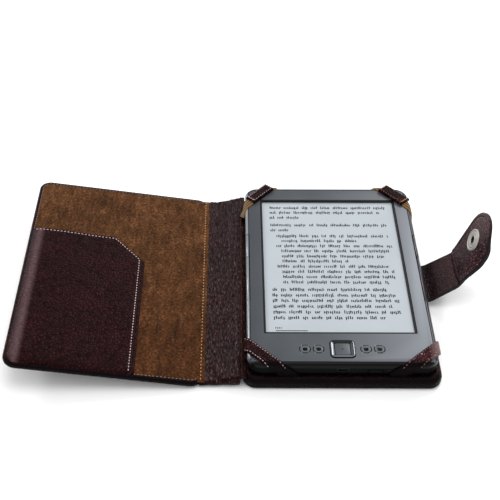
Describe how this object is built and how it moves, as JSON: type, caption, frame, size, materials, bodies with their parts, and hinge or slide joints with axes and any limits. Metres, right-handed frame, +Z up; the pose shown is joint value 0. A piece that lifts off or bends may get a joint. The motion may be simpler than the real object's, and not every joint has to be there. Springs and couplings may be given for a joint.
{
  "type": "e-reader in a folio cover",
  "caption": "Flat reading device with an e-ink screen and front keys, held by corner straps in an open book-style leather cover with an inner pocket and a snap closure strap.",
  "frame": {"origin": "middle of the cover's back panel, on the face that it lies on", "axes": "+X from the front cover towards the closure strap, +Y towards the top of the device, +Z up out of the screen"},
  "size_m": [0.2958, 0.1722, 0.0612],
  "materials": {
    "burgundy_leather": "pebbled grain, semi-gloss",
    "brown_suede": "brushed nap, matt",
    "greyboard": "plain",
    "brown_elastic": "woven elastic",
    "silver_paint": "fine metallic paint on plastic",
    "graphite_shell": "soft-touch matt",
    "black_trim": "matt",
    "e_ink_screen": "matt paper-like film",
    "magnesium_frame": "cast, bare",
    "battery_pouch": "foil pouch",
    "circuit_board": "solder mask",
    "plated_steel": "nickel plated",
    "key_plastic": "satin",
    "bright_ring": "plated plastic",
    "light_lens": "translucent"
  },
  "bodies": {
    "root": {"back_skin": "burgundy_leather", "back_board": "greyboard", "back_lining": "brown_suede", "strap_top_left": "burgundy_leather", "elastic_top_left": "brown_elastic", "strap_bottom_left": "burgundy_leather", "strap_top_right": "burgundy_leather", "elastic_top_right": "brown_elastic", "strap_bottom_right": "burgundy_leather", "rear_shell": "graphite_shell", "front_bezel": "silver_paint", "screen_gasket": "black_trim", "display_panel": "e_ink_screen", "mid_frame": "magnesium_frame", "battery": "battery_pouch", "main_board": "circuit_board", "shield_can": "plated_steel", "key_sheet": "black_trim", "usb_socket": "plated_steel", "case_screw_1": "plated_steel", "case_screw_2": "plated_steel", "case_screw_3": "plated_steel", "case_screw_4": "plated_steel", "side_switch_left": "circuit_board", "side_switch_right": "circuit_board", "charge_light": "light_lens"},
    "spine": {"spine_lining": "burgundy_leather", "spine_skin": "burgundy_leather"},
    "front_cover": {"front_skin": "burgundy_leather", "front_board": "greyboard", "front_lining": "brown_suede", "pocket": "burgundy_leather", "snap_stud": "plated_steel"},
    "closure": {"closure_strap": "burgundy_leather"},
    "closure_end": {"closure_tip": "burgundy_leather", "snap_socket": "plated_steel", "snap_cap": "plated_steel"},
    "back_key": {"back_key": "key_plastic"},
    "keyboard_key": {"keyboard_key": "key_plastic"},
    "menu_key": {"menu_key": "key_plastic"},
    "home_key": {"home_key": "key_plastic"},
    "nav_carrier": {"nav_carrier": "black_trim"},
    "nav_ring": {"nav_ring": "bright_ring"},
    "nav_button": {"nav_button": "key_plastic"},
    "left_page_forward_key": {"left_page_forward_key": "key_plastic"},
    "left_page_back_key": {"left_page_back_key": "key_plastic"},
    "right_page_forward_key": {"right_page_forward_key": "key_plastic"},
    "right_page_back_key": {"right_page_back_key": "key_plastic"},
    "power_key": {"power_key": "key_plastic"}
  },
  "joints": [
    {"name": "spine_fold", "type": "hinge", "parent": "root", "child": "spine", "pos_m": [-0.0614, 0, 0.005], "axis": [0, 1, 0], "range_deg": [0, 98.6]},
    {"name": "cover_fold", "type": "hinge", "parent": "spine", "child": "front_cover", "pos_m": [-0.08127, 0, 0.00199], "axis": [0, 1, 0], "range_deg": [-7, 72.7]},
    {"name": "strap_fold", "type": "hinge", "parent": "root", "child": "closure", "pos_m": [0.0611, 0, 0.005], "axis": [0, -1, 0], "range_deg": [-38, 48.3]},
    {"name": "strap_tip_fold", "type": "hinge", "parent": "closure", "child": "closure_end", "pos_m": [0.07969, 0, 0.02156], "axis": [0, -1, 0], "range_deg": [-27, 61.1]},
    {"name": "back_key_press", "type": "slide", "parent": "root", "child": "back_key", "axis": [0, 0, -1], "range_m": [0, 0.0004], "stiffness_N_per_m": 2000},
    {"name": "keyboard_key_press", "type": "slide", "parent": "root", "child": "keyboard_key", "axis": [0, 0, -1], "range_m": [0, 0.0004], "stiffness_N_per_m": 2000},
    {"name": "menu_key_press", "type": "slide", "parent": "root", "child": "menu_key", "axis": [0, 0, -1], "range_m": [0, 0.0004], "stiffness_N_per_m": 2000},
    {"name": "home_key_press", "type": "slide", "parent": "root", "child": "home_key", "axis": [0, 0, -1], "range_m": [0, 0.0004], "stiffness_N_per_m": 2000},
    {"name": "ring_rock_left_right", "type": "hinge", "parent": "root", "child": "nav_carrier", "pos_m": [0, -0.0691, 0.0153], "axis": [0, 1, 0], "range_deg": [-2.5, 2.5], "stiffness_Nm_per_rad": 0.2},
    {"name": "ring_rock_up_down", "type": "hinge", "parent": "nav_carrier", "child": "nav_ring", "pos_m": [0, -0.0691, 0.0159], "axis": [1, 0, 0], "range_deg": [-2.5, 2.5], "stiffness_Nm_per_rad": 0.2},
    {"name": "nav_button_press", "type": "slide", "parent": "root", "child": "nav_button", "axis": [0, 0, -1], "range_m": [0, 0.0004], "stiffness_N_per_m": 2000},
    {"name": "left_page_forward_key_press", "type": "slide", "parent": "root", "child": "left_page_forward_key", "axis": [1, 0, 0], "range_m": [0, 0.0005], "stiffness_N_per_m": 2000},
    {"name": "left_page_back_key_press", "type": "slide", "parent": "root", "child": "left_page_back_key", "axis": [1, 0, 0], "range_m": [0, 0.0005], "stiffness_N_per_m": 2000},
    {"name": "right_page_forward_key_press", "type": "slide", "parent": "root", "child": "right_page_forward_key", "axis": [-1, 0, 0], "range_m": [0, 0.0005], "stiffness_N_per_m": 2000},
    {"name": "right_page_back_key_press", "type": "slide", "parent": "root", "child": "right_page_back_key", "axis": [-1, 0, 0], "range_m": [0, 0.0005], "stiffness_N_per_m": 2000},
    {"name": "power_key_press", "type": "slide", "parent": "root", "child": "power_key", "axis": [0, 1, 0], "range_m": [0, 0.0004], "stiffness_N_per_m": 2000}
  ]
}
